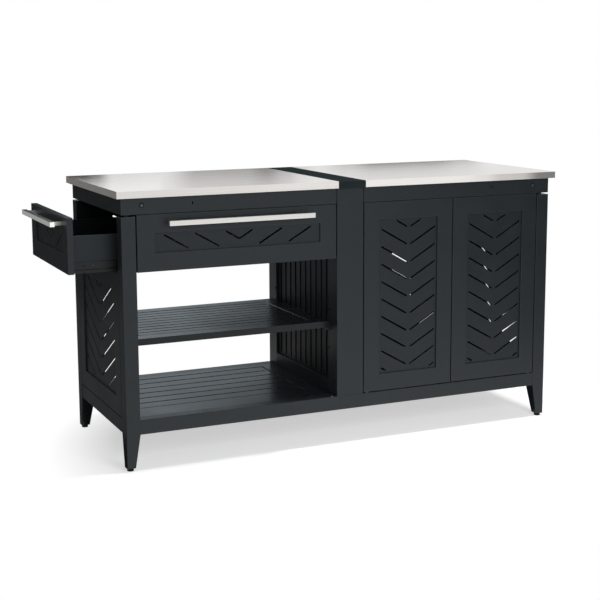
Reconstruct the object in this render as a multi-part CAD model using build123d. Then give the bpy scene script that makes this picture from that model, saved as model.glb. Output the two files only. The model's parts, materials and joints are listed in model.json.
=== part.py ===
"""Outdoor kitchen cabinet: open shelf bay, end drawer, front drawer, cupboard and two steel counters."""

import math
import os

from build123d import *

# Overall sizes, in millimetres
counter_height = 914.0
body_length = 1610.0
body_depth = 595.0
end_overhang = 17.0
side_overhang = 16.0

# Counters and the divider between them
counter_thick = 23.5
counter_sheet = 2.0
divider_width = 100.0
divider_sheet = 3.0
counter_joint = 0.5
counter_edge_radius = 1.2

# Legs and feet
leg_side = 48.0
leg_wall = 3.0
leg_corner_radius = 2.0
leg_tip_side = 30.0
leg_cap_thick = 3.0
leg_plug_depth = 12.0
stud_radius = 8.0
foot_radius = 11.0
foot_height = 10.0
stem_radius = 5.0
stem_length = 30.0

# Aprons, bottom rails and centre posts
apron_height = 53.5
apron_depth = 45.0
apron_sheet = 3.0
apron_inset = 1.0
apron_end_gap = 2.0
shadow_gap = 6.0
rail_bottom = 119.5
rail_height = 48.5
rail_depth = 40.0
rail_wall = 3.0
rail_inset = 1.0
post_depth = 69.0
post_wall = 3.0
bolt_head_radius = 5.0
bolt_head_height = 2.5
bolt_from_end = 69.0
mark_from_end = 240.0
mark_width = 4.0
mark_length = 10.0

# Doors, drawer fronts and fixed panels
front_thick = 20.0
front_band_side = 60.0
front_band_low = 60.0
front_band_top = 56.0
front_gap = 3.0
front_top_gap = 1.5
front_edge_radius = 1.6
panel_recess = 5.5
panel_sheet = 3.0
chevron_angle = 30.0
chevron_pitch = 61.2
chevron_first = 86.0
chevron_gap = 6.5
fixed_chevron_gap = 20.0
fixed_panel_joint = 0.5
slot_width = 6.0
slot_margin = 8.0
slot_shortest = 14.0
front_pattern_lift = -3.7
door_pattern_shift = 2.0
right_pattern_lift = 3.0
right_pattern_shift = -4.5
back_pattern_lift = -7.0
back_pattern_shift = -7.0
back_stile = 47.0

# Shelf bay
deck_thick = 20.0
deck_side_border = 61.0
deck_front_border = 98.0
deck_back_border = 32.0
deck_slots = 5
deck_notch_gap = 0.5
shelf_top = 424.0
shelf_thick = 22.0
shelf_side_border = 55.0
shelf_front_border = 52.5
shelf_side_gap = 4.0
shelf_front_setback = 54.5
shelf_slots = 8
tray_recess = 0.5
tray_sheet = 2.0
tray_gap = 5.0
tray_ledge = 14.0
tray_slot_width = 6.0
tray_slot_margin = 16.0
pin_radius = 5.0
pin_length = 20.0
pin_in_wall = 8.0
pin_setback = 61.5
pin_hole_pitch = 67.5
partition_band = 46.0
partition_depth = 30.0
partition_recess = 8.0
partition_slots = 10
partition_slot_inset = 30.0
partition_slot_width = 12.0

# Drawers
drawer_front_height = 180.0
drawer_front_side_gap = 4.5
end_panel_gap = 5.0
end_drawer_open = 160.0
end_drawer_length = 330.0
front_drawer_length = 477.0
drawer_wall = 10.0
drawer_wall_height = 118.0
drawer_wall_lift = 1.0
drawer_floor = 6.0
drawer_floor_lift = 4.0
end_box_side_gap = 29.5
divider_plate = 10.0
divider_gap = 10.0

# Drawer slides: a lip that runs in a channel, below a flat band with fixing holes
lip_height = 8.0
lip_depth = 8.0
runner_web = 1.5
band_lift = 13.0
band_height = 21.0
band_depth = 4.0
band_slot_first = 32.0
band_hole_first = 68.0
band_hole_pitch = 128.0
band_slot_length = 17.0
band_hole_width = 7.0
slide_space = 10.0
channel_wall = 1.6
channel_lip = 5.0
support_height = 40.0
channel_rear = 67.5
tab_length = 20.0
tab_height = 12.0
tab_thick = 3.0

# Handles
handle_side = 16.0
handle_reach = 42.0
handle_post_side = 12.0
handle_post_inset = 25.0
front_handle_length = 508.0
end_handle_length = 400.0
handle_drop = 23.0

# Door pivots and catches
pivot_from_edge = 16.0
pivot_from_face = 9.0
pivot_radius = 4.0
pivot_engage = 15.0
pivot_collar_radius = 7.0
catch_width = 30.0
catch_depth = 20.0
catch_height = 25.0
catch_from_edge = 6.0
strike_thick = 2.0

# Clearances
running_fit = 0.05
slide_fit = 0.4
pin_fit = 0.1
touch_gap = 0.3

# Heights and reference planes that follow from the sizes above
under_counter = counter_height - counter_thick
apron_low = under_counter - apron_height
front_top = apron_low - shadow_gap
front_rise = shadow_gap - front_top_gap
rail_top = rail_bottom + rail_height
front_low = rail_top + front_gap
drawer_low = front_top - drawer_front_height
end_panel_top = drawer_low - end_panel_gap
half_length = body_length / 2
half_depth = body_depth / 2
half_divider = divider_width / 2
leg_inner_x = half_length - leg_side
leg_inner_y = half_depth - leg_side
post_inner_y = half_depth - post_depth
front_back_y = half_depth - front_thick
panel_inner_x = half_length - front_thick
end_box_half_width = leg_inner_y - end_box_side_gap
shelf_low = shelf_top - shelf_thick
counter_half_length = half_length + end_overhang
counter_half_depth = half_depth + side_overhang

pieces = {}


def block(x_span, y_span, z_span):
    """Box between two positions along each axis."""
    spans = (x_span, y_span, z_span)
    middle = [(low + high) / 2 for low, high in spans]
    size = [abs(high - low) for low, high in spans]
    return Pos(*middle) * Box(*size)


def both(value):
    """Span from minus a value to plus that value."""
    return (-value, value)


def prism(corners, low, high):
    """Upright prism over a polygon."""
    return extrude(Pos(0, 0, low) * Polygon(*corners, align=None), high - low, dir=(0, 0, 1))


def upright(x, y, radius, low, high):
    """Upright cylinder."""
    return Pos(x, y, (low + high) / 2) * Cylinder(radius, high - low)


def along_y(x, z, radius, low, high):
    """Cylinder along Y."""
    return Pos(x, (low + high) / 2, z) * Rot(90, 0, 0) * Cylinder(radius, high - low)


def along_x(y, z, radius, low, high):
    """Cylinder along X."""
    return Pos((low + high) / 2, y, z) * Rot(0, 90, 0) * Cylinder(radius, high - low)


def tube(x_span, y_span, z_span, axis, wall, radius=1.5):
    """Box tube, open at both ends along one axis."""
    outer = block(x_span, y_span, z_span)
    outer = fillet(outer.edges().filter_by(axis), radius)
    spans = []
    for span, direction in zip((x_span, y_span, z_span), (Axis.X, Axis.Y, Axis.Z)):
        low, high = sorted(span)
        spans.append((low - 1, high + 1) if direction == axis else (low + wall, high - wall))
    return outer - block(*spans)


def group(solids):
    """Several separate solids as one node."""
    return Compound([solid for piece in solids for solid in piece.solids()])


# Legs, caps and feet
leg_tube_top = front_top - leg_cap_thick


def leg(x_sign, y_sign):
    """Square leg with a tapered tip, hollow above the bottom rails."""
    middle = (x_sign * (half_length - leg_side / 2), y_sign * (half_depth - leg_side / 2))
    tip = (x_sign * (half_length - leg_tip_side / 2), y_sign * (half_depth - leg_tip_side / 2))
    section = RectangleRounded(leg_side, leg_side, leg_corner_radius)
    tip_section = RectangleRounded(leg_tip_side, leg_tip_side, leg_corner_radius)
    lower = loft([Pos(*tip, foot_height) * tip_section, Pos(*middle, rail_bottom) * section])
    upper = extrude(Pos(*middle, rail_bottom) * section, leg_tube_top - rail_bottom, dir=(0, 0, 1))
    hollow = leg_side / 2 - leg_wall
    pocket = block(
        (middle[0] - hollow, middle[0] + hollow),
        (middle[1] - hollow, middle[1] + hollow),
        (rail_bottom + leg_wall, leg_tube_top + 1),
    )
    bore = upright(*tip, stem_radius + pin_fit, foot_height - 1, foot_height + stem_length + 1)
    return lower + upper - pocket - bore


def leg_cap(x_sign, y_sign):
    """Plug with a cover plate and the stud that carries the top."""
    middle = (x_sign * (half_length - leg_side / 2), y_sign * (half_depth - leg_side / 2))
    plug_side = leg_side - 2 * leg_wall - 2 * pin_fit
    plate = extrude(
        Pos(*middle, leg_tube_top) * RectangleRounded(leg_side, leg_side, leg_corner_radius),
        leg_cap_thick,
        dir=(0, 0, 1),
    )
    plug = Pos(*middle, leg_tube_top - leg_plug_depth / 2) * Box(plug_side, plug_side, leg_plug_depth)
    return plate + plug + upright(*middle, stud_radius, front_top, apron_low)


def foot(x_sign, y_sign):
    """Round levelling foot with its threaded stem."""
    tip = (x_sign * (half_length - leg_tip_side / 2), y_sign * (half_depth - leg_tip_side / 2))
    pad = upright(*tip, foot_radius, 0, foot_height)
    pad = fillet(pad.edges().sort_by(Axis.Z)[-1], 1.5)
    return pad + upright(*tip, stem_radius, foot_height, foot_height + stem_length)


corners = [(x_sign, y_sign) for x_sign in (-1, 1) for y_sign in (-1, 1)]
leg_names = {(-1, -1): "front_left_leg", (1, -1): "front_right_leg"}
leg_names |= {(-1, 1): "back_left_leg", (1, 1): "back_right_leg"}
for corner in corners:
    pieces[leg_names[corner]] = leg(*corner)
pieces["leg_caps"] = group([leg_cap(*corner) for corner in corners])
pieces["levelling_feet"] = group([foot(*corner) for corner in corners])

# Bottom rails
rail_z = (rail_bottom, rail_top)
rail_outer_y = half_depth - rail_inset
rail_inner_y = rail_outer_y - rail_depth
rail_outer_x = half_length - rail_inset
rail_inner_x = rail_outer_x - rail_depth
rail_y = (rail_inner_y, rail_outer_y)
front_rail = tube(both(leg_inner_x), [-y for y in rail_y], rail_z, Axis.X, rail_wall)
pieces["back_bottom_rail"] = tube(both(leg_inner_x), rail_y, rail_z, Axis.X, rail_wall)
pieces["end_bottom_rails"] = group(
    tube((sign * rail_inner_x, sign * rail_outer_x), both(leg_inner_y), rail_z, Axis.Y, rail_wall)
    for sign in (-1, 1)
)
pieces["centre_bottom_rail"] = tube(both(half_divider), both(rail_inner_y), rail_z, Axis.Y, rail_wall)

# Centre posts and the slotted partition between them
post_z = (rail_top, under_counter)
pin_y = half_depth - pin_setback
pin_z = shelf_low - pin_radius
pin_heights = [pin_z + step * pin_hole_pitch for step in (-1, 0, 1)]


def post(sign):
    """Wide centre post with shelf pin holes in its left face."""
    shape = tube(both(half_divider), (sign * post_inner_y, sign * half_depth), post_z, Axis.Z, post_wall)
    for z in pin_heights:
        reach = -half_divider + pin_in_wall + 1
        shape -= along_x(sign * pin_y, z, pin_radius + pin_fit, -half_divider - 1, reach)
    return shape


pieces["front_centre_post"] = post(-1)
pieces["back_centre_post"] = post(1)
partition_x = (-half_divider, -half_divider + partition_depth)
partition_low = rail_top + partition_band
partition_high = front_top - partition_band
pieces["partition_rails"] = group(
    tube(partition_x, both(post_inner_y), z_span, Axis.Y, post_wall)
    for z_span in ((rail_top, partition_low), (partition_high, front_top))
)
partition_face = -half_divider + partition_recess
partition_panel = block(
    (partition_face, partition_face + panel_sheet), both(post_inner_y), (partition_low, partition_high)
)
partition_pitch = 2 * (post_inner_y - partition_slot_inset) / (partition_slots - 1)
partition_slot_length = partition_high - partition_low - 2 * slot_margin
partition_middle = (partition_low + partition_high) / 2
slot_plane = Plane(origin=(partition_face - 1, 0, partition_middle), x_dir=(0, 0, 1), z_dir=(1, 0, 0))
for number in range(partition_slots):
    offset = (number - (partition_slots - 1) / 2) * partition_pitch
    outline = Pos(0, offset, 0) * SlotOverall(partition_slot_length, partition_slot_width)
    partition_panel -= extrude(slot_plane * outline, panel_sheet + 2, dir=(1, 0, 0))
pieces["partition_slotted_panel"] = partition_panel
liner_x = (half_divider - panel_sheet, half_divider)
pieces["partition_liner"] = block(liner_x, both(post_inner_y), (rail_top, front_top))

# Aprons: folded channels with mitred corners
apron_x = half_length - apron_inset
apron_y = half_depth - apron_inset
apron_z = (apron_low, under_counter)
apron_inner_z = (apron_low + apron_sheet, under_counter - apron_sheet)
bolt_z = (apron_low + under_counter) / 2 + 2.0


def long_apron(x_sign, y_sign):
    """Front or back apron channel, from a corner to the centre post."""
    x_span = (x_sign * (half_divider + apron_end_gap), x_sign * apron_x)
    shape = block(x_span, (y_sign * apron_y, y_sign * (apron_y - apron_depth)), apron_z)
    shape -= block(
        (x_span[0] - x_sign, x_span[1] + x_sign),
        (y_sign * (apron_y - apron_sheet), y_sign * (apron_y - apron_depth - 1)),
        apron_inner_z,
    )
    inner = apron_y - apron_depth
    corner = [(apron_x, apron_y), (apron_x, inner), (apron_x - apron_depth, inner)]
    shape -= prism([(x_sign * x, y_sign * y) for x, y in corner], apron_low - 1, under_counter + 1)
    mark = Plane(
        origin=(x_sign * (half_length - mark_from_end), y_sign * (apron_y + 1), bolt_z),
        x_dir=(0, 0, 1),
        z_dir=(0, -y_sign, 0),
    )
    outline = mark * SlotOverall(mark_length, mark_width)
    return shape - extrude(outline, apron_sheet + 2, dir=(0, -y_sign, 0))


def end_apron(x_sign):
    """Apron channel across one end."""
    shape = block((x_sign * apron_x, x_sign * (apron_x - apron_depth)), both(apron_y), apron_z)
    shape -= block(
        (x_sign * (apron_x - apron_sheet), x_sign * (apron_x - apron_depth - 1)),
        both(apron_y + 1),
        apron_inner_z,
    )
    inner = apron_x - apron_depth
    for y_sign in (-1, 1):
        corner = [(apron_x, apron_y), (inner, apron_y), (inner, apron_y - apron_depth)]
        shape -= prism([(x_sign * x, y_sign * y) for x, y in corner], apron_low - 1, under_counter + 1)
    return shape


def apron_bolt(x_sign, y_sign):
    """Domed bolt head on the front or back apron."""
    x = x_sign * (half_length - bolt_from_end)
    head = along_y(x, bolt_z, bolt_head_radius, apron_y, apron_y + bolt_head_height)
    head = fillet(head.edges().sort_by(Axis.Y)[-1], bolt_head_height * 0.8)
    return head if y_sign > 0 else mirror(head, about=Plane.XZ)


front_aprons = {sign: long_apron(sign, -1) for sign in (-1, 1)}
pieces["back_aprons"] = group(long_apron(sign, 1) for sign in (-1, 1))
pieces["end_aprons"] = group(end_apron(sign) for sign in (-1, 1))
pieces["apron_bolts"] = group(apron_bolt(*corner) for corner in corners)


# Counters and centre divider
def folded_top(x_span, sheet):
    """Sheet folded down on all four sides."""
    low, high = sorted(x_span)
    outer = block((low, high), both(counter_half_depth), (under_counter, counter_height))
    outer = fillet(outer.edges().filter_by(Axis.Z), counter_edge_radius)
    outer = fillet(outer.faces().sort_by(Axis.Z)[-1].edges(), counter_edge_radius)
    inner = block(
        (low + sheet, high - sheet),
        both(counter_half_depth - sheet),
        (under_counter - 1, counter_height - sheet),
    )
    return outer - inner


counter_span = (half_divider + counter_joint, counter_half_length)
pieces["left_counter_skin"] = folded_top([-x for x in counter_span], counter_sheet)
pieces["right_counter_skin"] = folded_top(counter_span, counter_sheet)
core_span = (counter_span[0] + counter_sheet, counter_span[1] - counter_sheet)
pieces["counter_cores"] = group(
    block(
        (sign * core_span[0], sign * core_span[1]),
        both(counter_half_depth - counter_sheet),
        (under_counter, counter_height - counter_sheet),
    )
    for sign in (-1, 1)
)
pieces["centre_divider"] = folded_top(both(half_divider), divider_sheet)


# Frames with recessed slotted sheets
def chevron_slots(half_width, low, high, tip_gap, lift, shift):
    """Slanted slot outlines that rise to both sides from a row of tips, clipped to a window."""
    slope = math.tan(math.radians(chevron_angle))
    reach = half_width - slot_margin
    bottom = low + slot_margin
    top = high - slot_margin
    first_tip = rail_top + chevron_first + lift
    lowest = math.floor((bottom - reach * slope - first_tip) / chevron_pitch)
    highest = math.ceil((top - first_tip) / chevron_pitch)
    outlines = []
    for row in range(lowest, highest + 1):
        tip = first_tip + row * chevron_pitch
        start = max(tip_gap, (bottom - tip) / slope)
        end = min(reach, (top - tip) / slope)
        if end - start < slot_shortest:
            continue
        length = (end - start) / math.cos(math.radians(chevron_angle))
        for side in (-1, 1):
            across = shift + side * (start + end) / 2
            up = tip + (start + end) / 2 * slope
            slot = Rot(0, 0, side * chevron_angle) * SlotOverall(length, slot_width)
            outlines.append(Pos(across, up, 0) * slot)
    return outlines


def framed(width, z_span, tip_gap=chevron_gap, lift=0, shift=0, rise=0):
    """Frame and sheet, face at local z = 0, middle of the width at x = 0, heights along y.

    The top band of the frame is higher by the rise."""
    low, high = z_span
    window = (low + front_band_low, high - front_band_top)
    half_window = width / 2 - front_band_side
    frame = block(both(width / 2), (low, high + rise), (-front_thick, 0))
    frame -= block(both(half_window), window, (-front_thick - 1, 1))
    frame = fillet(frame.faces().sort_by(Axis.Z)[-1].edges(), front_edge_radius)
    sheet = block(both(half_window), window, (-panel_recess - panel_sheet, -panel_recess))
    cuts = [
        extrude(Pos(0, 0, -panel_recess + 1) * outline, panel_sheet + 2, dir=(0, 0, -1))
        for outline in chevron_slots(half_window, *window, tip_gap, lift, shift)
    ]
    return frame, sheet - cuts


def facing_front(x, z=0):
    """Plane of a front face, with its x along X."""
    return Plane(origin=(x, -half_depth, z), x_dir=(1, 0, 0), z_dir=(0, -1, 0))


def facing_back(x):
    """Plane of a back face."""
    return Plane(origin=(x, half_depth, 0), x_dir=(-1, 0, 0), z_dir=(0, 1, 0))


def facing_left(x, z=0):
    """Plane of a left-hand face."""
    return Plane(origin=(x, 0, z), x_dir=(0, -1, 0), z_dir=(-1, 0, 0))


def facing_right(x):
    """Plane of a right-hand face."""
    return Plane(origin=(x, 0, 0), x_dir=(0, 1, 0), z_dir=(1, 0, 0))


# Fixed end panels
frame, sheet = framed(2 * leg_inner_y, (front_low, end_panel_top))
left_end_frame = facing_left(-half_length) * frame
for sign in (-1, 1):
    for z in pin_heights:
        hole_end = -panel_inner_x - pin_in_wall - 1
        left_end_frame -= along_x(sign * pin_y, z, pin_radius + pin_fit, hole_end, -panel_inner_x + 1)
pieces["left_end_frame"] = left_end_frame
pieces["left_end_panel"] = facing_left(-half_length) * sheet
right_end = [
    framed(
        2 * leg_inner_y,
        (front_low, end_panel_top),
        fixed_chevron_gap,
        right_pattern_lift,
        right_pattern_shift,
    ),
    framed(2 * leg_inner_y, (end_panel_top + fixed_panel_joint, apron_low), 0),
]
pieces["right_end_frame"] = group(facing_right(half_length) * frame for frame, sheet in right_end)
pieces["right_end_panel"] = group(facing_right(half_length) * sheet for frame, sheet in right_end)

# Fixed panel at the back of the drawer bay, slotted like the drawer's front, and a folded stile by the leg
frame, sheet = framed(
    leg_inner_x - half_divider, (drawer_low, front_top), 0, front_pattern_lift, rise=apron_low - front_top
)
stile_x = (-leg_inner_x, back_stile - leg_inner_x)
stile = block(stile_x, (front_back_y, half_depth), (rail_top, drawer_low))
stile -= block(
    (stile_x[0] + panel_sheet, stile_x[1] - panel_sheet),
    (front_back_y - 1, half_depth - panel_sheet),
    (rail_top + panel_sheet, drawer_low - panel_sheet),
)
bay_back = facing_back(-(leg_inner_x + half_divider) / 2)
pieces["drawer_back_panel"] = group([bay_back * frame, bay_back * sheet, stile])

# Fixed panels at the back of the cupboard
back_width = (leg_inner_x - half_divider) / 2
back_middles = [half_divider + back_width * share for share in (0.5, 1.5)]
frame, sheet = framed(
    back_width, (front_low, apron_low), fixed_chevron_gap, back_pattern_lift, back_pattern_shift
)
pieces["cupboard_back_frames"] = group(facing_back(x) * frame for x in back_middles)
pieces["cupboard_back_panels"] = group(facing_back(x) * sheet for x in back_middles)


# Slotted decks and shelf
def slotted_tray(x_span, y_span, top, thick, window_x, window_y, slots):
    """Flat frame with a rebate, and the slotted sheet that lies in it."""
    sheet_top = top - tray_recess
    sheet_low = sheet_top - tray_sheet
    frame = block(x_span, y_span, (top - thick, top))
    frame -= block(window_x, window_y, (sheet_low, top + 1))
    well = [(low + tray_ledge, high - tray_ledge) for low, high in (window_x, window_y)]
    frame -= block(*well, (top - thick - 1, top + 1))
    edges = [(low + tray_gap, high - tray_gap) for low, high in (window_x, window_y)]
    sheet = block(*edges, (sheet_low, sheet_top))
    pitch = (window_y[1] - window_y[0] - tray_gap) / (slots + 1)
    length = window_x[1] - window_x[0] - 2 * tray_slot_margin
    middle_x, middle_y = [sum(span) / 2 for span in (window_x, window_y)]
    for number in range(slots):
        y = middle_y + (number - (slots - 1) / 2) * pitch
        outline = Pos(middle_x, y, sheet_low - 1) * SlotOverall(length, tray_slot_width)
        sheet -= extrude(outline, tray_sheet + 2, dir=(0, 0, 1))
    return frame, sheet


deck_span = (half_divider, rail_inner_x)
deck_window = (half_divider + deck_side_border, panel_inner_x - deck_side_border)
for side, sign in (("left", -1), ("right", 1)):
    deck_frame, deck_sheet = slotted_tray(
        [sign * x for x in deck_span],
        both(rail_inner_y),
        rail_top,
        deck_thick,
        sorted(sign * x for x in deck_window),
        (deck_front_border - rail_inner_y, rail_inner_y - deck_back_border),
        deck_slots,
    )
    notch_x = (sign * (leg_inner_x - deck_notch_gap), sign * half_length)
    for y_sign in (-1, 1):
        notch_y = (y_sign * (leg_inner_y - deck_notch_gap), y_sign * half_depth)
        deck_frame -= block(notch_x, notch_y, (rail_bottom, rail_top + 1))
    pieces[f"{side}_deck_frame"] = deck_frame
    pieces[f"{side}_deck_panel"] = deck_sheet
shelf_span = (-panel_inner_x + shelf_side_gap, -half_divider - shelf_side_gap)
shelf_half_depth = half_depth - shelf_front_setback
pieces["shelf_frame"], pieces["shelf_panel"] = slotted_tray(
    shelf_span,
    both(shelf_half_depth),
    shelf_top,
    shelf_thick,
    (shelf_span[0] + shelf_side_border, shelf_span[1] - shelf_side_border),
    both(shelf_half_depth - shelf_front_border),
    shelf_slots,
)
pin_starts = (-panel_inner_x - pin_in_wall, -half_divider + pin_in_wall - pin_length)
pieces["shelf_pins"] = group(
    along_x(sign * pin_y, pin_z, pin_radius, start, start + pin_length)
    for sign in (-1, 1)
    for start in pin_starts
)

# Drawer boxes, slides and handles
box_z = (drawer_low + drawer_wall_lift, drawer_low + drawer_wall_lift + drawer_wall_height)
floor_z = (box_z[0] + drawer_floor_lift, box_z[0] + drawer_floor_lift + drawer_floor)
lip_z = (drawer_low, drawer_low + lip_height)
band_z = (drawer_low + band_lift, drawer_low + band_lift + band_height)
channel_z = (lip_z[0] - slide_fit - channel_wall, lip_z[1] + slide_fit + channel_wall)
handle_z = front_top - handle_drop


def runner(half_width, length, sign):
    """Drawer half of a slide, on the outside of one wall, from local x = 0."""
    web_z = (lip_z[0], band_z[1])
    shape = None
    for depth, z_span in ((runner_web, web_z), (lip_depth, lip_z), (band_depth, band_z)):
        strip = block((0, length), (sign * half_width, sign * (half_width + depth)), z_span)
        shape = strip if shape is None else shape + strip
    face_y = sign * (half_width + band_depth + 1)
    face = Plane(origin=(0, face_y, (band_z[0] + band_z[1]) / 2), x_dir=(1, 0, 0), z_dir=(0, -sign, 0))
    slot = SlotOverall(band_slot_length, band_hole_width)
    for first, outline in ((band_slot_first, slot), (band_hole_first, Circle(band_hole_width / 2))):
        for step in range(int((length - first - band_slot_length) / band_hole_pitch) + 1):
            place = face * Pos(first + step * band_hole_pitch, 0, 0)
            shape -= extrude(place * outline, band_depth + 1 - runner_web / 2, dir=(0, -sign, 0))
    return shape


def drawer_box(half_width, length):
    """Walls, floor and runners, front end at local x = 0, running along +X, middle at y = 0."""
    inner = half_width - drawer_wall
    sides = [block((0, length), (sign * inner, sign * half_width), box_z) for sign in (-1, 1)]
    back = block((length - drawer_wall, length), both(inner), box_z)
    floor = block((0, length - drawer_wall), both(inner), floor_z)
    return sides + [back], floor, [runner(half_width, length, sign) for sign in (-1, 1)]


def channel(half_width, start, end):
    """Pair of C channels that the runners slide in, along X, open towards the drawer."""
    web = half_width + slide_space
    mouth = web - channel_lip
    shapes = []
    for sign in (-1, 1):
        outer = block((start, end), (sign * mouth, sign * web), channel_z)
        inner_z = (channel_z[0] + channel_wall, channel_z[1] - channel_wall)
        inner = block((start - 1, end + 1), (sign * (mouth - 1), sign * (web - channel_wall)), inner_z)
        shapes.append(outer - inner)
    return shapes


def handle(length):
    """Square bar on two posts, face of the front at local z = 0, bar along x."""
    bar = block(both(length / 2), both(handle_side / 2), (handle_reach - handle_side, handle_reach))
    bar = fillet(bar.edges(), 0.8)
    shapes = [bar]
    for sign in (-1, 1):
        x = sign * (length / 2 - handle_post_inset)
        half = handle_post_side / 2
        shapes.append(block((x - half, x + half), both(half), (0, handle_reach - handle_side)))
    return shapes


# End drawer, stored partly open
end_face = -half_length - end_drawer_open
end_box_start = end_face + front_thick
end_front_width = 2 * (leg_inner_y - drawer_front_side_gap)
frame, sheet = framed(end_front_width, (drawer_low, front_top), 0, front_pattern_lift)
pieces["end_drawer_front"] = facing_left(end_face) * frame
pieces["end_drawer_panel"] = facing_left(end_face) * sheet
walls, floor, runners = drawer_box(end_box_half_width, end_drawer_length)
pieces["end_drawer_walls"] = group(Pos(end_box_start, 0, 0) * wall for wall in walls)
pieces["end_drawer_floor"] = Pos(end_box_start, 0, 0) * floor
pieces["end_drawer_runners"] = group(Pos(end_box_start, 0, 0) * runner for runner in runners)
end_grip = facing_left(end_face, handle_z)
pieces["end_drawer_handle"] = group(end_grip * shape for shape in handle(end_handle_length))

# Plate between the two drawer boxes, and the bars that carry the end drawer's channels
closed_end = -panel_inner_x + end_drawer_length
plate_x = (closed_end + divider_gap, closed_end + divider_gap + divider_plate)
plate_half_depth = apron_y - apron_depth
pieces["drawer_divider"] = block(plate_x, both(plate_half_depth), (drawer_low, under_counter))
support_start = -panel_inner_x + front_gap
support_inner = end_box_half_width + slide_space
support_z = (channel_z[0], channel_z[0] + support_height)
pieces["end_slide_supports"] = group(
    block((support_start, plate_x[0]), (sign * support_inner, sign * leg_inner_y), support_z)
    for sign in (-1, 1)
)
end_channels = channel(end_box_half_width, support_start, plate_x[0])
tab_x = (support_start - tab_length, support_start)
tab_y = (leg_inner_y - tab_thick, leg_inner_y)
tab_z = (channel_z[0], channel_z[0] + tab_height)
end_channels += [block(tab_x, [sign * y for y in tab_y], tab_z) for sign in (-1, 1)]

# Front drawer: wide front, box beside the end drawer's
front_box_x = (plate_x[1] + slide_space, -half_divider - slide_space)
front_box_middle = (front_box_x[0] + front_box_x[1]) / 2
front_box_half = (front_box_x[1] - front_box_x[0]) / 2
turn = Pos(front_box_middle, -front_back_y, 0) * Rot(0, 0, 90)
bay_middle = -(leg_inner_x + half_divider) / 2
bay_width = leg_inner_x - half_divider
bay_front_width = bay_width - 2 * front_gap
frame, sheet = framed(bay_front_width, (drawer_low, front_top), 0, front_pattern_lift, rise=front_rise)
pieces["front_drawer_front"] = facing_front(bay_middle) * frame
pieces["front_drawer_panel"] = facing_front(bay_middle) * sheet
walls, floor, runners = drawer_box(front_box_half, front_drawer_length)
pieces["front_drawer_walls"] = group(turn * wall for wall in walls)
pieces["front_drawer_floor"] = turn * floor
pieces["front_drawer_runners"] = group(turn * runner for runner in runners)
front_grip = facing_front(bay_middle, handle_z)
pieces["front_drawer_handle"] = group(front_grip * shape for shape in handle(front_handle_length))
channel_start = front_back_y - plate_half_depth
channel_end = front_back_y + half_depth - channel_rear
front_channels = [turn * shape for shape in channel(front_box_half, channel_start, channel_end)]
pieces["slide_channels"] = group(end_channels + front_channels)

# Cupboard doors on pivot pins
door_width = (bay_width - 3 * front_gap) / 2
door_middles = {-1: half_divider + front_gap + door_width / 2, 1: leg_inner_x - front_gap - door_width / 2}
door_names = {-1: "left_door", 1: "right_door"}
pivot_y = -half_depth + pivot_from_face
pivot_xs = {sign: door_middles[sign] + sign * (door_width / 2 - pivot_from_edge) for sign in (-1, 1)}
strike_z = (front_top - catch_height + 2, front_top - 2)
catch_y = -front_back_y + strike_thick + touch_gap
frame, sheet = framed(
    door_width, (front_low, front_top), chevron_gap, front_pattern_lift, door_pattern_shift, front_rise
)
pins = []
catches = []
for sign in (-1, 1):
    door = facing_front(door_middles[sign]) * frame
    bore = pivot_radius + running_fit
    low_end = front_low + pivot_engage
    high_end = front_top - pivot_engage
    door -= upright(pivot_xs[sign], pivot_y, bore, front_low - 1, low_end + 1)
    door -= upright(pivot_xs[sign], pivot_y, bore, high_end - 1, apron_low)
    name = door_names[sign]
    pieces[f"{name}_frame"] = door
    pieces[f"{name}_panel"] = facing_front(door_middles[sign]) * sheet
    free_edge = door_middles[sign] - sign * door_width / 2
    catch_x = (free_edge + sign * catch_from_edge, free_edge + sign * (catch_from_edge + catch_width))
    pieces[f"{name}_strike"] = block(catch_x, (-front_back_y, -front_back_y + strike_thick), strike_z)
    catches.append(block(catch_x, (catch_y, catch_y + catch_depth), (apron_low - catch_height, apron_low)))
    low_pin = upright(pivot_xs[sign], pivot_y, pivot_radius, rail_top - 2 * rail_wall, low_end)
    collar = upright(pivot_xs[sign], pivot_y, pivot_collar_radius, rail_top, front_low - touch_gap)
    high_pin = upright(pivot_xs[sign], pivot_y, pivot_radius, high_end, apron_low + 2 * apron_sheet)
    pins += [low_pin + collar, high_pin]
    socket = pivot_radius + pin_fit
    front_rail -= upright(pivot_xs[sign], pivot_y, socket, rail_top - rail_wall - 1, rail_top + 1)
    front_aprons[1] -= upright(pivot_xs[sign], pivot_y, socket, apron_low - 1, apron_low + apron_sheet + 1)
pieces["door_pivot_pins"] = group(pins)
pieces["door_catches"] = group(catches)
pieces["front_bottom_rail"] = front_rail
pieces["front_aprons"] = group(front_aprons.values())

# Origin on the floor, at the middle of the overall box
left_reach = -end_face + handle_reach
front_reach = half_depth + handle_reach
middle_x = (counter_half_length - left_reach) / 2
middle_y = (counter_half_depth - front_reach) / 2

os.makedirs("parts", exist_ok=True)
for name, shape in pieces.items():
    export_step(Pos(-middle_x, -middle_y, 0) * shape, f"parts/{name}.step")
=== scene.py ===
"""Looks of the outdoor kitchen cabinet: finishes, small fixings, floor, light and camera."""
import json
import math

import bmesh
import bpy
from mathutils import Matrix, Vector


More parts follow.
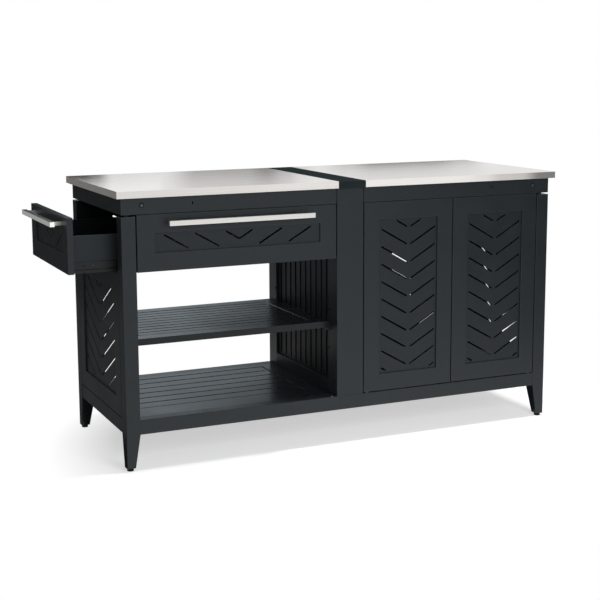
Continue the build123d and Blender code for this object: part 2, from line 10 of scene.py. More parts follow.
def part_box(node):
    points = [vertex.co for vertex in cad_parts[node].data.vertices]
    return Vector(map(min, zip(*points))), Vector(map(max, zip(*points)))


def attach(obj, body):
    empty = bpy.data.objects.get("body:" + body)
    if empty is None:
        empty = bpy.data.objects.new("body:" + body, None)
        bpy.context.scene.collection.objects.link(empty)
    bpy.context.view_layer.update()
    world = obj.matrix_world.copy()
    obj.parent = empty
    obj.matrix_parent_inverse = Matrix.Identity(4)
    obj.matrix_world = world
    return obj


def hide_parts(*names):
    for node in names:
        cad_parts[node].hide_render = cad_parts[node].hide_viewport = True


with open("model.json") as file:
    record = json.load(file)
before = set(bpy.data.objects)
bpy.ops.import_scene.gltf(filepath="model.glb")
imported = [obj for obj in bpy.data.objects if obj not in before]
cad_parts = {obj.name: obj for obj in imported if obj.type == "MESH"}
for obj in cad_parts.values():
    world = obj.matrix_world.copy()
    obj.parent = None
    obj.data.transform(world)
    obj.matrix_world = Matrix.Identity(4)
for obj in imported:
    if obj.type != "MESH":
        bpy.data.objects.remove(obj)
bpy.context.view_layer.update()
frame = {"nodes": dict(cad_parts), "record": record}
nodes = frame["nodes"]
scene = bpy.context.scene


# Finishes
def linear(code):
    """sRGB hex colour as linear RGBA."""
    shares = [int(code[i:i + 2], 16) / 255 for i in (1, 3, 5)]
    light = [s / 12.92 if s <= 0.04045 else ((s + 0.055) / 1.055) ** 2.4 for s in shares]
    return (*light, 1.0)


def times(colour, share):
    """Linear colour, lighter or darker by a share."""
    return (*(c * share for c in colour[:3]), 1.0)


def grey(level):
    """Linear grey."""
    return (level, level, level, 1.0)


def per(size_mm):
    """Texture scale on coordinates in metres for a pattern of this size."""
    return 1000.0 / size_mm


def add(tree, kind, feeds=None, **settings):
    """Adds a node, sets it up, and links or fills its inputs."""
    made = tree.nodes.new(kind)
    for key, value in settings.items():
        setattr(made, key, value)
    for key, value in (feeds or {}).items():
        if isinstance(value, bpy.types.NodeSocket):
            tree.links.new(value, made.inputs[key])
        else:
            made.inputs[key].default_value = value
    return made


def start(name):
    """Empty material with its node tree."""
    finish = bpy.data.materials.new(name)
    finish.use_nodes = True
    finish.node_tree.nodes.clear()
    return finish, finish.node_tree


def edge_rim(tree, radius_mm):
    """Rounded normal near sharp edges, and how far it leaves the flat one, 0 to 1."""
    rounded = add(tree, "ShaderNodeBevel", {"Radius": radius_mm / 1000}, samples=4)
    flat = add(tree, "ShaderNodeNewGeometry")
    facing = add(
        tree,
        "ShaderNodeVectorMath",
        {0: rounded.outputs[0], 1: flat.outputs["Normal"]},
        operation="DOT_PRODUCT",
    )
    rim = add(
        tree,
        "ShaderNodeMapRange",
        {"Value": facing.outputs["Value"], "From Min": 0.999, "From Max": 0.75},
    )
    return rounded.outputs[0], rim.outputs[0]


def powder_coat(
    name,
    body,
    worn,
    specular=0.3,
    rough=(0.42, 0.52),
    grit_mm=3.5,
    tone_mm=140.0,
    rim_mm=1.2,
    rim_specular=None,
):
    """Polyester powder coat on aluminium: matte charcoal with a fine orange peel, slow changes of
    tone from the spray, and edges in the worn colour: a lighter one paints edge wear together with
    painted highlights on the rounded edges, and a near-black one, with rim_specular, paints shade,
    dark and dull."""
    finish, tree = start(name)
    place = add(tree, "ShaderNodeTexCoord").outputs["Object"]
    # Real grit is about 0.5 mm: drawn coarser so that it shows from a few metres
    grit = add(
        tree,
        "ShaderNodeTexNoise",
        {"Vector": place, "Scale": per(grit_mm), "Detail": 2.0, "Roughness": 0.6},
    )
    tone = add(
        tree,
        "ShaderNodeTexNoise",
        {"Vector": place, "Scale": per(tone_mm), "Detail": 3.0, "Roughness": 0.55},
    )
    rounded, rim = edge_rim(tree, rim_mm)
    thin, thick = times(linear(body), 0.86), times(linear(body), 1.14)
    sprayed = add(
        tree, "ShaderNodeMix", {0: tone.outputs["Fac"], 6: thin, 7: thick}, data_type="RGBA"
    )
    speck = add(
        tree,
        "ShaderNodeMapRange",
        {
            "Value": grit.outputs["Fac"],
            "From Min": 0.3,
            "From Max": 0.7,
            "To Min": 0.93,
            "To Max": 1.07,
        },
    )
    peeled = add(
        tree,
        "ShaderNodeVectorMath",
        {0: sprayed.outputs[2], "Scale": speck.outputs[0]},
        operation="SCALE",
    )
    # Edge colour: in patches along the rims the coat takes the worn colour, which paints edge wear
    # together with highlights, and paints shade where it is near black
    edge_wear_and_shading_mask = add(
        tree, "ShaderNodeMath", {0: rim, 1: tone.outputs["Fac"]}, operation="MULTIPLY"
    )
    coat = add(
        tree,
        "ShaderNodeMix",
        {0: edge_wear_and_shading_mask.outputs[0], 6: peeled.outputs[0], 7: linear(worn)},
        data_type="RGBA",
    )
    gloss = add(
        tree,
        "ShaderNodeMapRange",
        {
            "Value": tone.outputs["Fac"],
            "From Min": 0.3,
            "From Max": 0.7,
            "To Min": rough[0],
            "To Max": rough[1],
        },
    )
    shine = specular
    if rim_specular is not None:
        shine = add(
            tree,
            "ShaderNodeMapRange",
            {"Value": rim, "To Min": specular, "To Max": rim_specular},
        ).outputs[0]
    peel = add(
        tree,
        "ShaderNodeBump",
        {
            "Strength": 0.12,
            "Distance": 0.0004,
            "Height": grit.outputs["Fac"],
            "Normal": rounded,
        },
    )
    surface = add(
        tree,
        "ShaderNodeBsdfPrincipled",
        {
            "Base Color": coat.outputs[2],
            "Roughness": gloss.outputs[0],
            "Specular IOR Level": shine,
            "Normal": peel.outputs[0],
        },
    )
    add(tree, "ShaderNodeOutputMaterial", {"Surface": surface.outputs[0]})
    return finish


def brushed_steel(name, body, streak, along, rough=(0.24, 0.36), line_mm=2.4, rim_mm=1.0):
    """Stainless steel brushed one way: bright grey with fine lines along the grain,
    broad bands where the belt passed, and a polished edge."""
    finish, tree = start(name)
    place = add(tree, "ShaderNodeTexCoord").outputs["Object"]
    stretch = [1.0, 1.0, 1.0]
    stretch["XYZ".index(along)] = 0.012
    grain = add(tree, "ShaderNodeMapping", {"Vector": place, "Scale": stretch})
    # Real brush lines are about 0.1 mm apart: drawn wider so that they show
    lines = add(
        tree,
        "ShaderNodeTexNoise",
        {"Vector": grain.outputs[0], "Scale": per(line_mm), "Detail": 4.0, "Roughness": 0.7},
    )
    belt_mm = 38.0
    bands = add(
        tree,
        "ShaderNodeTexNoise",
        {"Vector": grain.outputs[0], "Scale": per(belt_mm), "Detail": 2.0},
    )
    rounded, rim = edge_rim(tree, rim_mm)
    brushed = add(
        tree,
        "ShaderNodeMix",
        {0: lines.outputs["Fac"], 6: linear(streak), 7: linear(body)},
        data_type="RGBA",
    )
    belt = add(
        tree,
        "ShaderNodeMapRange",
        {
            "Value": bands.outputs["Fac"],
            "From Min": 0.3,
            "From Max": 0.7,
            "To Min": 0.95,
            "To Max": 1.04,
        },
    )
    banded = add(
        tree,
        "ShaderNodeVectorMath",
        {0: brushed.outputs[2], "Scale": belt.outputs[0]},
        operation="SCALE",
    )
    gloss = add(
        tree,
        "ShaderNodeMapRange",
        {
            "Value": lines.outputs["Fac"],
            "From Min": 0.3,
            "From Max": 0.7,
            "To Min": rough[0],
            "To Max": rough[1],
        },
    )
    polished = add(
        tree,
        "ShaderNodeMath",
        {0: gloss.outputs[0], 1: rim},
        operation="SUBTRACT",
        use_clamp=True,
    )
    keep = add(
        tree, "ShaderNodeMath", {0: polished.outputs[0], 1: rough[0] * 0.8}, operation="MAXIMUM"
    )
    scratch = add(
        tree,
        "ShaderNodeBump",
        {
            "Strength": 0.1,
            "Distance": 0.0003,
            "Height": lines.outputs["Fac"],
            "Normal": rounded,
        },
    )
    surface = add(
        tree,
        "ShaderNodeBsdfPrincipled",
        {
            "Base Color": banded.outputs[0],
            "Metallic": 1.0,
            "Roughness": keep.outputs[0],
            "Normal": scratch.outputs[0],
        },
    )
    add(tree, "ShaderNodeOutputMaterial", {"Surface": surface.outputs[0]})
    return finish


def moulded_plastic(name, body, scuff, rough=0.5, grain_mm=1.6, specular=0.5):
    """Moulded black plastic: even and slightly sheened, with a fine spark-eroded grain and dull
    scuffs."""
    finish, tree = start(name)
    place = add(tree, "ShaderNodeTexCoord").outputs["Object"]
    grain = add(tree, "ShaderNodeTexVoronoi", {"Vector": place, "Scale": per(grain_mm)})
    scuff_mm = 18.0
    marks = add(
        tree,
        "ShaderNodeTexNoise",
        {"Vector": place, "Scale": per(scuff_mm), "Detail": 5.0, "Roughness": 0.7},
    )
    worn = add(
        tree,
        "ShaderNodeMapRange",
        {"Value": marks.outputs["Fac"], "From Min": 0.5, "From Max": 0.75, "To Max": 0.6},
    )
    colour = add(
        tree,
        "ShaderNodeMix",
        {0: worn.outputs[0], 6: linear(body), 7: linear(scuff)},
        data_type="RGBA",
    )
    gloss = add(
        tree,
        "ShaderNodeMapRange",
        {
            "Value": marks.outputs["Fac"],
            "From Min": 0.3,
            "From Max": 0.7,
            "To Min": rough - 0.07,
            "To Max": rough + 0.1,
        },
    )
    pits = add(
        tree,
        "ShaderNodeBump",
        {"Strength": 0.15, "Distance": 0.0002, "Height": grain.outputs["Distance"]},
    )
    surface = add(
        tree,
        "ShaderNodeBsdfPrincipled",
        {
            "Base Color": colour.outputs[2],
            "Roughness": gloss.outputs[0],
            "Specular IOR Level": specular,
            "Normal": pits.outputs[0],
        },
    )
    add(tree, "ShaderNodeOutputMaterial", {"Surface": surface.outputs[0]})
    return finish


# Legs, rails, aprons, doors and fronts: satin charcoal with soft reflections, and edges painted
# lighter for wear together with painted highlights
charcoal_frame = powder_coat(
    "charcoal_powder_coat", "#1d2326", "#70777a", specular=0.36, rough=(0.34, 0.42)
)
charcoal_sheet = powder_coat(
    "charcoal_coated_sheet", "#1d2326", "#6a7174", rough=(0.34, 0.42), tone_mm=110.0
)
# Shelf and decks: smoother, so that they mirror the bright room at a low angle; their edges are
# painted lighter for wear together with highlights
charcoal_tray = powder_coat(
    "charcoal_coated_tray",
    "#191e20",
    "#545b5e",
    specular=0.26,
    rough=(0.26, 0.32),
    tone_mm=160.0,
)
# Their slotted sheets: a wide rim round each slot is painted black and without shine, painted
# shade that makes each slot read as a dark line
charcoal_slats = powder_coat(
    "charcoal_slotted_sheet",
    "#191e20",
    "#040505",
    specular=0.25,
    rough=(0.26, 0.32),
    tone_mm=160.0,
    rim_mm=5.0,
    rim_specular=0.0,
)
# Strip between the counters: flat and without shine
divider_coat = powder_coat(
    "charcoal_coated_divider", "#272d2f", "#484e51", specular=0.0, rough=(0.8, 0.9)
)
# The partition and its rails: the charcoal coat made a little darker and less shiny, painted shade
# for where they stand in the bay
partition_shade_coat = powder_coat(
    "charcoal_partition_shade_coat", "#1a1f21", "#3f4548", specular=0.25, rough=(0.4, 0.5)
)
drawer_coat = powder_coat(
    "charcoal_coated_drawer", "#1e2427", "#565d60", rough=(0.42, 0.5), tone_mm=90.0
)
slide_coat = powder_coat(
    "black_dipped_slide", "#161a1b", "#5c6062", specular=0.3, rough=(0.3, 0.42), grit_mm=2.0
)
# Near-black coat of the washers under the apron bolts: painted shade for the dark ring round each
# head
shade_ring_washer = powder_coat(
    "shade_ring_washer_coat", "#0d0f10", "#2a2d2e", specular=0.2, rough=(0.5, 0.6), rim_mm=0.4
)
# Blackened steel: dark, with a light grey painted on its edges as a hard glint
bolt_steel = powder_coat(
    "blackened_bolt_steel", "#25292b", "#8a8e90", specular=0.7, rough=(0.22, 0.3), rim_mm=0.6
)
# Counters and bars: bright, brushed along their length
counter_steel = brushed_steel(
    "brushed_counter_steel", "#eeebe8", "#e2dfdb", "X", rough=(0.16, 0.24)
)
front_bar_steel = brushed_steel(
    "brushed_front_bar_steel", "#f0eeeb", "#e0deda", "X", rim_mm=0.6
)
# The end bar: the bars' steel made darker, painted shade for the bar's faces turned away from the
# light
end_bar_shade_steel = brushed_steel("brushed_end_bar_shade_steel", "#d3d3d0", "#bdbcb8", "Y", rim_mm=0.6)
# Small fittings: finer lines, zinc duller and bluish; the soft satin aluminium is for the bead
# that paints a highlight in the shelf's seam
plain_steel = brushed_steel(
    "turned_fitting_steel", "#c4c3c0", "#aeada9", "Z", rough=(0.2, 0.3), line_mm=1.0, rim_mm=0.4
)
zinc_steel = brushed_steel(
    "zinc_plated_bolt_steel",
    "#6d7678",
    "#596264",
    "Z",
    rough=(0.26, 0.36),
    line_mm=1.0,
    rim_mm=0.4,
)
seam_highlight_finish = brushed_steel(
    "seam_highlight_aluminium", "#a5a5a3", "#8f8f8d", "Y", rough=(0.4, 0.5), line_mm=1.0, rim_mm=0.4
)
# Board under the counters, out of sight, and the plastics: feet dull, catches with a soft sheen
filler_board = moulded_plastic("filler_board", "#7c7a75", "#8f8d88", rough=0.7, grain_mm=3.0)
foot_plastic = moulded_plastic(
    "black_foot_plastic", "#0f1011", "#1b1c1d", rough=0.65, specular=0.15
)
catch_plastic = moulded_plastic("black_catch_plastic", "#1c1d1f", "#333436")

finishes = {
    "charcoal_coat": charcoal_frame,
    "charcoal_sheet": charcoal_sheet,
    "counter_steel": counter_steel,
    "handle_steel": front_bar_steel,
    "slide_steel": slide_coat,
    "drawer_metal": drawer_coat,
    "fitting_steel": plain_steel,
    "core_board": filler_board,
    "foot_plastic": foot_plastic,
    "catch_plastic": catch_plastic,
}
own_finish = {
    "end_drawer_handle": end_bar_shade_steel,
    "centre_divider": divider_coat,
    "partition_slotted_panel": partition_shade_coat,
    "partition_rails": partition_shade_coat,
    "apron_bolts": bolt_steel,
    "shelf_pins": bolt_steel,
    "door_pivot_pins": bolt_steel,
    "left_deck_frame": charcoal_tray,
    "left_deck_panel": charcoal_slats,
    "right_deck_frame": charcoal_tray,
    "right_deck_panel": charcoal_slats,
    "shelf_frame": charcoal_tray,
    "shelf_panel": charcoal_slats,
}
slot_of = {part["node"]: part["material_slot"] for part in frame["record"]["subparts"]}
for name, node in nodes.items():
    for slot in node.material_slots:
        slot.material = own_finish.get(name, finishes[slot_of[name]])


# Small fixings
smooth_angle = math.radians(35)


def pick(*chosen):
    """Selects only these objects, the last one active."""
    bpy.ops.object.select_all(action="DESELECT")
    for piece in chosen:
        piece.select_set(True)
    bpy.context.view_layer.objects.active = chosen[-1]


def turned(radius, height, sides, rounding, segments, lip, wall, sunk):
    """Round piece on z = 0 that faces +Z, rounded at its rim and sunk in the middle."""
    bpy.ops.object.select_all(action="DESELECT")
    bpy.ops.mesh.primitive_cylinder_add(
        vertices=sides, radius=radius, depth=height, location=(0, 0, height / 2)
    )
    piece = bpy.context.active_object
    bpy.ops.object.transform_apply(location=True, rotation=True, scale=True)
    bpy.ops.object.mode_set(mode="EDIT")
    shape = bmesh.from_edit_mesh(piece.data)
    for face in shape.faces:
        face.select_set(face.normal.z > 0.9)
    bmesh.update_edit_mesh(piece.data)
    bpy.ops.mesh.bevel(offset=rounding, segments=segments, profile=0.5, affect="EDGES")
    shape = bmesh.from_edit_mesh(piece.data)
    for face in shape.faces:
        top = face.calc_center_median().z > height * 0.9
        face.select_set(top and face.normal.z > 0.99)
    bmesh.update_edit_mesh(piece.data)
    bpy.ops.mesh.inset(thickness=lip, depth=0.0)
    bpy.ops.mesh.inset(thickness=wall, depth=-sunk)
    bpy.ops.object.mode_set(mode="OBJECT")
    bpy.ops.object.shade_smooth_by_angle(angle=smooth_angle)
    return piece


def screw_head(radius, height, drive, sunk):
    """Domed head with a sunk drive."""
    rounding = min(height, radius) * 0.62
    lip = max(radius * 0.38 - drive, radius * 0.12)
    wall = radius * 0.03
    return turned(
        radius, height, sides=36, rounding=rounding, segments=4, lip=lip, wall=wall, sunk=sunk
    )


def set_out(model, name, places, body, finish):
    """Copies of one fixing, each at a place and facing a way, joined into one piece on a body."""
    copies = []
    for place, facing in places:
        pick(model)
        bpy.ops.object.duplicate()
        copy = bpy.context.active_object
        copy.location = place
        copy.rotation_mode = "QUATERNION"
        copy.rotation_quaternion = Vector(facing).to_track_quat("Z", "Y")
        copies.append(copy)
    pick(*copies)
    bpy.ops.object.join()
    bpy.ops.object.transform_apply(location=True, rotation=True, scale=True)
    piece = bpy.context.active_object
    piece.name = name
    piece.data.name = name
    piece.data.materials.clear()
    piece.data.materials.append(finish)
    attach(piece, body)
    return piece


# Bolt heads on the front and back aprons, each on a dished washer coloured near black, which
# paints the dark ring of shade round the head
bolt_low, bolt_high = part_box("apron_bolts")
front_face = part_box("front_aprons")[0].y
back_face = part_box("back_aprons")[1].y
bolt_radius = (bolt_high.z - bolt_low.z) / 2
bolt_z = (bolt_high.z + bolt_low.z) / 2
bolt_places = []
for x in (bolt_low.x + bolt_radius, bolt_high.x - bolt_radius):
    bolt_places.append(((x, front_face, bolt_z), (0, -1, 0)))
    bolt_places.append(((x, back_face, bolt_z), (0, 1, 0)))
bolt = screw_head(
    radius=bolt_radius * 0.95,
    height=front_face - bolt_low.y,
    drive=bolt_radius * 0.12,
    sunk=0.0008,
)
bolts = set_out(bolt, "apron_bolt_heads", bolt_places, "carcass", zinc_steel)
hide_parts("apron_bolts")
bpy.data.objects.remove(bolt)

washer = turned(
    radius=0.0082,
    height=0.0009,
    sides=40,
    rounding=0.0003,
    segments=2,
    lip=0.0012,
    wall=0.0012,
    sunk=0.0005,
)
set_out(washer, "apron_bolt_shade_ring_washers", bolt_places, "carcass", shade_ring_washer)
bpy.data.objects.remove(washer)

# Screws in the round holes of the drawers' runners, seated this far from the drawers' walls
screw = screw_head(radius=0.0034, height=0.0022, drive=0.0004, sunk=0.0009)
screw_seat = 0.0022
runner_z = 0.6745
runner_steps = (0.068, 0.196, 0.324, 0.452)
low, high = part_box("end_drawer_walls")
end_screws = []
for step in runner_steps[:2]:
    x = low.x + step
    end_screws.append(((x, low.y - screw_seat, runner_z), (0, -1, 0)))
    end_screws.append(((x, high.y + screw_seat, runner_z), (0, 1, 0)))
set_out(screw, "end_runner_screws", end_screws, "end_drawer", bolt_steel)
low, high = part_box("front_drawer_walls")
front_screws = []
for step in runner_steps:
    y = low.y + step
    front_screws.append(((low.x - screw_seat, y, runner_z), (-1, 0, 0)))
    front_screws.append(((high.x + screw_seat, y, runner_z), (1, 0, 0)))
set_out(screw, "front_runner_screws", front_screws, "front_drawer", bolt_steel)

# A screw by the centre post on the front rail, and one opposite it on the back rail
post_gap, rail_inset, body_middle = 0.016, 0.008, 0.013
rail_low, rail_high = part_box("front_bottom_rail")
rail_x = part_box("front_centre_post")[0].x - post_gap
rail_y = rail_low.y + rail_inset
rail_screws = []
for y in (rail_y, 2 * body_middle - rail_y):
    rail_screws.append(((rail_x, y, rail_high.z), (0, 0, 1)))
set_out(screw, "rail_screws", rail_screws, "carcass", plain_steel)
bpy.data.objects.remove(screw)

# Bright bead in the seam at the right-hand edge of the shelf's sheet, lying on the frame's ledge:
# a painted highlight for the light line along that seam
bead_gap, bead_width, bead_proud = 0.0012, 0.0026, 0.0004
sheet_low, sheet_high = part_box("shelf_panel")
bead_x = sheet_high.x + bead_gap
bead_low = Vector((bead_x, sheet_low.y, sheet_low.z))
bead_high = Vector((bead_x + bead_width, sheet_high.y, sheet_high.z + bead_proud))
bpy.ops.object.select_all(action="DESELECT")
bpy.ops.mesh.primitive_cube_add(
    size=1.0, location=(bead_low + bead_high) / 2, scale=bead_high - bead_low
)
bead = bpy.context.active_object
bead.name = bead.data.name = "shelf_seam_highlight_bead"
bpy.ops.object.transform_apply(location=True, rotation=True, scale=True)
bpy.ops.object.mode_set(mode="EDIT")
shape = bmesh.from_edit_mesh(bead.data)
for edge in shape.edges:
    run = edge.verts[1].co - edge.verts[0].co
    long_one = abs(run.y) > 0.1
    edge.select_set(long_one and edge.verts[0].co.z > bead_high.z - 0.0001)
bmesh.update_edit_mesh(bead.data)
bpy.ops.mesh.bevel(offset=0.0009, segments=4, profile=0.5, affect="EDGES")
bpy.ops.object.mode_set(mode="OBJECT")
bpy.ops.object.shade_smooth_by_angle(angle=smooth_angle)
bead.data.materials.append(seam_highlight_finish)
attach(bead, "carcass")


# Floor and world
def shown(tree):
    """1 for the rays that show a thing: straight, in a reflection or through something clear."""
    seen = add(tree, "ShaderNodeLightPath").outputs
    straight = add(
        tree,
        "ShaderNodeMath",
        {0: seen["Is Camera Ray"], 1: seen["Is Glossy Ray"]},
        operation="MAXIMUM",
    )
    through = add(
        tree,
        "ShaderNodeMath",
        {0: straight.outputs[0], 1: seen["Is Transmission Ray"]},
        operation="MAXIMUM",
    )
    return through.outputs[0]


pure_white = linear("#ffffff")

# Floor: pale, white to the camera away from the cabinet, with the cabinet's shadow on it
bpy.ops.object.select_all(action="DESELECT")
bpy.ops.mesh.primitive_plane_add(size=60.0, location=(0, 0, 0))
floor = bpy.context.active_object
floor.name = "studio_floor"
floor_paint, tree = start("pale_floor_paint")
place = add(tree, "ShaderNodeTexCoord").outputs["Object"]
mottle_mm = 400.0
mottle = add(
    tree, "ShaderNodeTexNoise", {"Vector": place, "Scale": per(mottle_mm), "Detail": 2.0}
)
tint = add(
    tree,
    "ShaderNodeMix",
    {0: mottle.outputs["Fac"], 6: linear("#c8c8c8"), 7: linear("#cccccc")},
    data_type="RGBA",
)
paint = add(tree, "ShaderNodeBsdfDiffuse", {"Color": tint.outputs[2]})
glow = add(tree, "ShaderNodeEmission", {"Color": pure_white, "Strength": 0.56})
lit = add(tree, "ShaderNodeAddShader", {0: paint.outputs[0], 1: glow.outputs[0]})
white = add(tree, "ShaderNodeEmission", {"Color": pure_white, "Strength": 1.0})
fade_middle, fade_from, fade_to = (-0.25, 0.25, 0.0), 0.95, 1.18
middle = add(tree, "ShaderNodeMapping", {"Vector": place, "Location": fade_middle})
reach = add(tree, "ShaderNodeVectorMath", {0: middle.outputs[0]}, operation="LENGTH")
away = add(
    tree,
    "ShaderNodeMapRange",
    {"Value": reach.outputs["Value"], "From Min": fade_from, "From Max": fade_to},
)
near_far = add(
    tree, "ShaderNodeMixShader", {0: away.outputs[0], 1: lit.outputs[0], 2: white.outputs[0]}
)
final = add(
    tree, "ShaderNodeMixShader", {0: shown(tree), 1: paint.outputs[0], 2: near_far.outputs[0]}
)
add(tree, "ShaderNodeOutputMaterial", {"Surface": final.outputs[0]})
floor.data.materials.append(floor_paint)

# World: white to the camera and in reflections, a low even grey for the rest of the light
world = bpy.data.worlds.new("studio")
scene.world = world
world.use_nodes = True
tree = world.node_tree
tree.nodes.clear()
cool_grey = (0.95, 0.98, 1.0, 1.0)
fill = add(tree, "ShaderNodeBackground", {"Color": cool_grey, "Strength": 0.22})
white = add(tree, "ShaderNodeBackground", {"Color": pure_white, "Strength": 1.0})
both = add(
    tree, "ShaderNodeMixShader", {0: shown(tree), 1: fill.outputs[0], 2: white.outputs[0]}
)
add(tree, "ShaderNodeOutputWorld", {"Surface": both.outputs[0]})


# Light
def softbox(name, place, target, width, height, power):
    """Rectangular soft light aimed at a point, which doesn't show in the picture."""
    lamp = bpy.data.lights.new(name, "AREA")
    lamp.shape = "RECTANGLE"
    lamp.size = width
    lamp.size_y = height
    lamp.energy = power
    holder = bpy.data.objects.new(name, lamp)
    scene.collection.objects.link(holder)
    aim = Vector(target) - Vector(place)
    turn = aim.to_track_quat("-Z", "Y").to_matrix().to_4x4()
    holder.matrix_world = Matrix.Translation(place) @ turn
    holder.visible_camera = False
    holder.visible_glossy = False


softbox(
    "overhead_softbox",
    place=(0.9, -0.5, 7.0),
    target=(0.1, -0.1, 0.4),
    width=0.45,
    height=0.45,
    power=340,
)
softbox(
    "front_softbox",
    place=(0.2, -2.9, 1.5),
    target=(0.2, 0.0, 0.42),
    width=1.3,
    height=1.0,
    power=37,
)


def rectangle(x, y, z):
    """Corners of a card that lies at one place on one axis and spans the two others."""
    (x0, x1), (y0, y1), (z0, z1) = [s if isinstance(s, tuple) else (s, s) for s in (x, y, z)]
    if z0 == z1:
        return [(x0, y0, z0), (x1, y0, z0), (x1, y1, z0), (x0, y1, z0)]
    return [(x0, y0, z0), (x1, y1, z0), (x1, y1, z1), (x0, y0, z1)]


def flag(name, corners, level=1.0):
    """Card of one grey that shows only in reflections."""
    card = bpy.data.meshes.new(name)
    card.from_pydata(corners, [], [(0, 1, 2, 3)])
    holder = bpy.data.objects.new(name, card)
    scene.collection.objects.link(holder)
    paper, tree = start(name + "_paper")
    glow = add(tree, "ShaderNodeEmission", {"Color": grey(level), "Strength": 1.0})
    add(tree, "ShaderNodeOutputMaterial", {"Surface": glow.outputs[0]})
    card.materials.append(paper)
    holder.visible_camera = False
    holder.visible_diffuse = False
    holder.visible_shadow = False
    holder.visible_transmission = False
    return holder


def grade(card, stops, fade=(2.0, 3.0), top=1.0, tint=(1.0, 1.0, 1.0)):
    """Shades a card along X through stops of place and grey, and to one grey between two heights,
    which are above the card unless given."""
    tree = card.data.materials[0].node_tree
    tree.nodes.clear()
    place = add(tree, "ShaderNodeTexCoord").outputs["Object"]
    axes = add(tree, "ShaderNodeSeparateXYZ", {"Vector": place}).outputs
    left, right = stops[0][0], stops[-1][0]
    along = add(
        tree, "ShaderNodeMapRange", {"Value": axes["X"], "From Min": left, "From Max": right}
    )
    shades = add(tree, "ShaderNodeValToRGB", {"Fac": along.outputs[0]})
    ramp = shades.color_ramp
    ramp.interpolation = "EASE"
    ramp.elements[0].color = grey(stops[0][1])
    ramp.elements[1].color = grey(stops[-1][1])
    for x, level in stops[1:-1]:
        ramp.elements.new((x - left) / (right - left)).color = grey(level)
    upward = add(
        tree, "ShaderNodeMapRange", {"Value": axes["Z"], "From Min": fade[0], "From Max": fade[1]}
    )
    faded = add(
        tree,
        "ShaderNodeMix",
        {0: upward.outputs[0], 6: shades.outputs["Color"], 7: grey(top)},
        data_type="RGBA",
    )
    tinted = add(
        tree, "ShaderNodeVectorMath", {0: faded.outputs[2], 1: tint}, operation="MULTIPLY"
    )
    glow = add(tree, "ShaderNodeEmission", {"Color": tinted.outputs[0], "Strength": 1.0})
    add(tree, "ShaderNodeOutputMaterial", {"Surface": glow.outputs[0]})


# Dark cards round the cabinet, which keep the coat dark on the left and fading to the right
back_y, front_y, left_x, left_top = 2.6, -3.5, -4.5, 1.7
over_floor, over_card = 0.004, 0.006
left_end_x = -0.715
flag("left_back_low_flag", rectangle((-0.6, -9.0), back_y, (0.0, 0.5)), 0.05)
flag("left_back_high_flag", rectangle((-0.6, -9.0), back_y, (0.5, left_top)), 0.08)
flag("left_side_flag", rectangle(left_x, (back_y, -2.5), (0.0, left_top)), 0.06)
flag("left_floor_flag", rectangle((left_end_x, left_x), (back_y, -1.0), over_floor), 0.14)
flag("bay_floor_flag", rectangle((-0.15, -0.71), (back_y, 0.45), over_floor), 0.3)
right_floor = [(1.5, -0.7), (2.4, front_y), (6.0, front_y), (6.0, -0.7)]
flag("right_floor_flag", [(x, y, over_floor) for x, y in right_floor], 0.03)
flag("right_front_flag", rectangle((2.15, 8.0), front_y, (0.0, 1.6)), 0.02)
# Black ones under the cabinet and beside the front left leg, for the legs' tips
flag("under_floor_flag", rectangle((-0.7, 0.88), (0.32, -0.25), over_floor), 0.0)
flag("left_tip_flag", rectangle((left_end_x, -0.86), (0.12, -0.3), over_card), 0.0)
# Light grey in front, for the counters' and the front bar's faces
flag("front_left_flag", rectangle((-4.0, 1.1), front_y, (0.25, 2.0)), 0.86)
# Dark behind the end drawer, for the top of its front
flag("end_top_flag", rectangle((-0.95, left_end_x), 0.34, (0.78, 1.3)), 0.06)

# Graded cards behind the counters, which give their tops the dark and light bands
counters_y, counters_z = 0.55, (0.915, 1.5)
left_join, right_join = -0.3, 0.36
grade(
    flag("left_counter_flag", rectangle((-1.2, left_join), counters_y, counters_z)),
    [(-0.8, 0.0), (-0.6, 0.0), (-0.56, 0.15), (-0.49, 0.75), (left_join, 0.8)],
    fade=(0.975, 1.01),
)
grade(
    flag("middle_counter_flag", rectangle((left_join, right_join), counters_y, counters_z)),
    [
        (left_join, 0.8),
        (-0.15, 0.42),
        (0.04, 0.38),
        (0.14, 0.22),
        (0.22, 0.45),
        (0.3, 0.75),
        (right_join, 0.85),
    ],
    fade=(0.965, 1.09),
    top=0.88,
)
grade(
    flag("right_counter_flag", rectangle((right_join, 1.5), counters_y, counters_z)),
    [(right_join, 0.85), (0.5, 0.55), (0.62, 0.22), (0.9, 0.22), (1.05, 0.5), (1.2, 0.95)],
    fade=(0.95, 0.99),
    top=0.85,
)

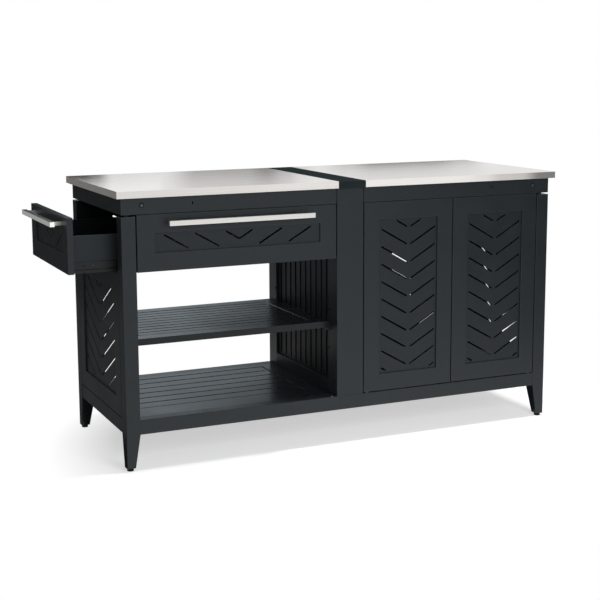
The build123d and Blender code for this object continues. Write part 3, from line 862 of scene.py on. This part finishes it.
# Graded cards behind the open bay, a little blue, which the deck and the shelf mirror
bay_x, bay_y, shelf_z = (-0.35, 1.1), 1.6, 0.69
bay_tint = (0.9, 1.01, 1.09)
grade(
    flag("deck_flag", rectangle(bay_x, bay_y, (0.1, shelf_z))),
    [(-0.3, 0.74), (0.38, 0.7), (0.54, 0.6), (0.8, 0.3)],
    tint=bay_tint,
)
grade(
    flag("shelf_flag", rectangle(bay_x, bay_y, (shelf_z, 1.4))),
    [(-0.3, 0.85), (0.05, 0.8), (0.28, 0.5), (0.42, 0.28), (0.54, 0.17), (0.8, 0.05)],
    tint=bay_tint,
)

# Narrow cards close to the steel edges, so that these stay light beside the dark coat
strip_gap, strip_before, strip_past, strip_under = 0.0015, 0.002, 0.01, 0.001
bar_side = 0.016


def past(low, high):
    """From a little before one end of a box to a little past the other."""
    return (low - strip_before, high + strip_past)


low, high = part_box("end_drawer_handle")
bar_z = (low.z - strip_under, high.z)
flag("end_bar_strip", rectangle(low.x - strip_gap, past(low.y, high.y), bar_z), 0.48)
flag("end_bar_tip_strip", rectangle((low.x, low.x + bar_side), low.y - strip_gap, bar_z), 1.7)
low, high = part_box("left_counter_skin")
edge_z = (low.z - strip_under, high.z)
flag("left_edge_strip", rectangle(low.x - strip_gap, past(low.y, high.y), edge_z), 0.19)
low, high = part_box("right_counter_skin")
edge_z = (low.z - strip_under, high.z)
grade(
    flag("right_edge_strip", rectangle(past(low.x, high.x), low.y - strip_gap, edge_z)),
    [
        (0.1, 1.03),
        (0.53, 1.02),
        (0.61, 0.93),
        (0.69, 0.72),
        (0.77, 0.68),
        (0.85, 0.27),
        (0.93, 0.25),
    ],
)

# Camera, from the photograph's viewing angle
eye = (-1.853788, -4.175175, 1.312141)
azimuth, pitch, roll = math.radians(24.31045), math.radians(9.19996), math.radians(-0.25432)
ahead = Vector(
    (math.sin(azimuth) * math.cos(pitch), math.cos(azimuth) * math.cos(pitch), -math.sin(pitch))
)
level = Vector((math.cos(azimuth), -math.sin(azimuth), 0.0))
upward = level.cross(ahead)
right = level * math.cos(roll) + upward * math.sin(roll)
upward = upward * math.cos(roll) - level * math.sin(roll)
lens = bpy.data.cameras.new("photo_camera")
lens.sensor_fit = "HORIZONTAL"
lens.sensor_width = 36.0
lens.lens = 77.326
lens.shift_y = -0.05
camera = bpy.data.objects.new("photo_camera", lens)
scene.collection.objects.link(camera)
turn = Matrix((right, upward, -ahead)).transposed().to_4x4()
camera.matrix_world = Matrix.Translation(eye) @ turn
scene.camera = camera
scene.view_settings.view_transform = "Standard"
